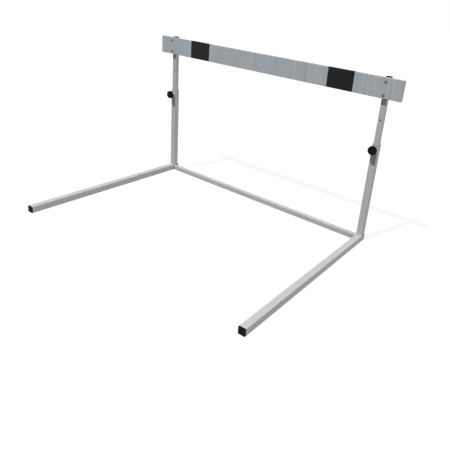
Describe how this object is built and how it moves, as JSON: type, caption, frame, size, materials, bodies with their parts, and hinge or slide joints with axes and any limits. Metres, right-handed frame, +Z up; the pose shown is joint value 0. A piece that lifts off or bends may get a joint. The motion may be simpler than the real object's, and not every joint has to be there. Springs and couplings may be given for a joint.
{
  "type": "track hurdle",
  "caption": "Height-adjustable track hurdle: a square-tube base, telescoping posts with hand clamps, and a banded crossboard.",
  "frame": {"origin": "on the floor, at the middle of the hurdle's length and depth", "axes": "+X along the crossboard, +Z up; the legs reach forward along -Y and the board is on the front of the posts"},
  "size_m": [1.2, 0.7784, 0.6589],
  "materials": {
    "painted_steel": "light grey powder coat, satin",
    "board_grey": "blue-grey, fine streaks across the board's height",
    "black_film": "black film, the same faint streaks",
    "black_plastic": "moulded, satin",
    "fastener_steel": "zinc plated",
    "dark_steel": "dull dark grey coat"
  },
  "bodies": {
    "base": {"cross_tube": "painted_steel", "left_leg": "painted_steel", "left_outer_post": "painted_steel", "left_front_leg_plug": "black_plastic", "left_rear_leg_plug": "black_plastic", "left_weld_nut": "painted_steel", "right_leg": "painted_steel", "right_outer_post": "painted_steel", "right_front_leg_plug": "black_plastic", "right_rear_leg_plug": "black_plastic", "right_weld_nut": "painted_steel"},
    "carriage": {"crossboard": "board_grey", "left_inner_post": "painted_steel", "left_top_plug": "black_plastic", "left_guide_plug": "black_plastic", "left_band": "black_film", "left_upper_bolt": "dark_steel", "left_lower_bolt": "dark_steel", "left_upper_washer": "fastener_steel", "left_lower_washer": "fastener_steel", "left_upper_nut": "fastener_steel", "left_lower_nut": "fastener_steel", "right_inner_post": "painted_steel", "right_top_plug": "black_plastic", "right_guide_plug": "black_plastic", "right_band": "black_film", "right_upper_bolt": "dark_steel", "right_lower_bolt": "dark_steel", "right_upper_washer": "fastener_steel", "right_lower_washer": "fastener_steel", "right_upper_nut": "fastener_steel", "right_lower_nut": "fastener_steel"},
    "left_stud": {"left_clamp_stud": "fastener_steel"},
    "left_knob": {"left_knob": "black_plastic"},
    "right_stud": {"right_clamp_stud": "fastener_steel"},
    "right_knob": {"right_knob": "black_plastic"}
  },
  "joints": [
    {"name": "height_slide", "type": "slide", "parent": "base", "child": "carriage", "axis": [0, 0, 1], "range_m": [-0.11, 0.11]},
    {"name": "left_stud_travel", "type": "slide", "parent": "base", "child": "left_stud", "axis": [0, -1, 0], "range_m": [0, 0.00375]},
    {"name": "left_knob_turn", "type": "hinge", "parent": "left_stud", "child": "left_knob", "pos_m": [-0.5325, 0.3568, 0.388], "axis": [0, -1, 0], "range_deg": [0, 1080]},
    {"name": "right_stud_travel", "type": "slide", "parent": "base", "child": "right_stud", "axis": [0, -1, 0], "range_m": [0, 0.00375]},
    {"name": "right_knob_turn", "type": "hinge", "parent": "right_stud", "child": "right_knob", "pos_m": [0.5325, 0.3568, 0.388], "axis": [0, -1, 0], "range_deg": [0, 1080]}
  ],
  "couplings": [
    {"joint": "left_stud_travel", "follows": "left_knob_turn", "m_per_rad": 0.0001989},
    {"joint": "right_stud_travel", "follows": "right_knob_turn", "m_per_rad": 0.0001989}
  ]
}
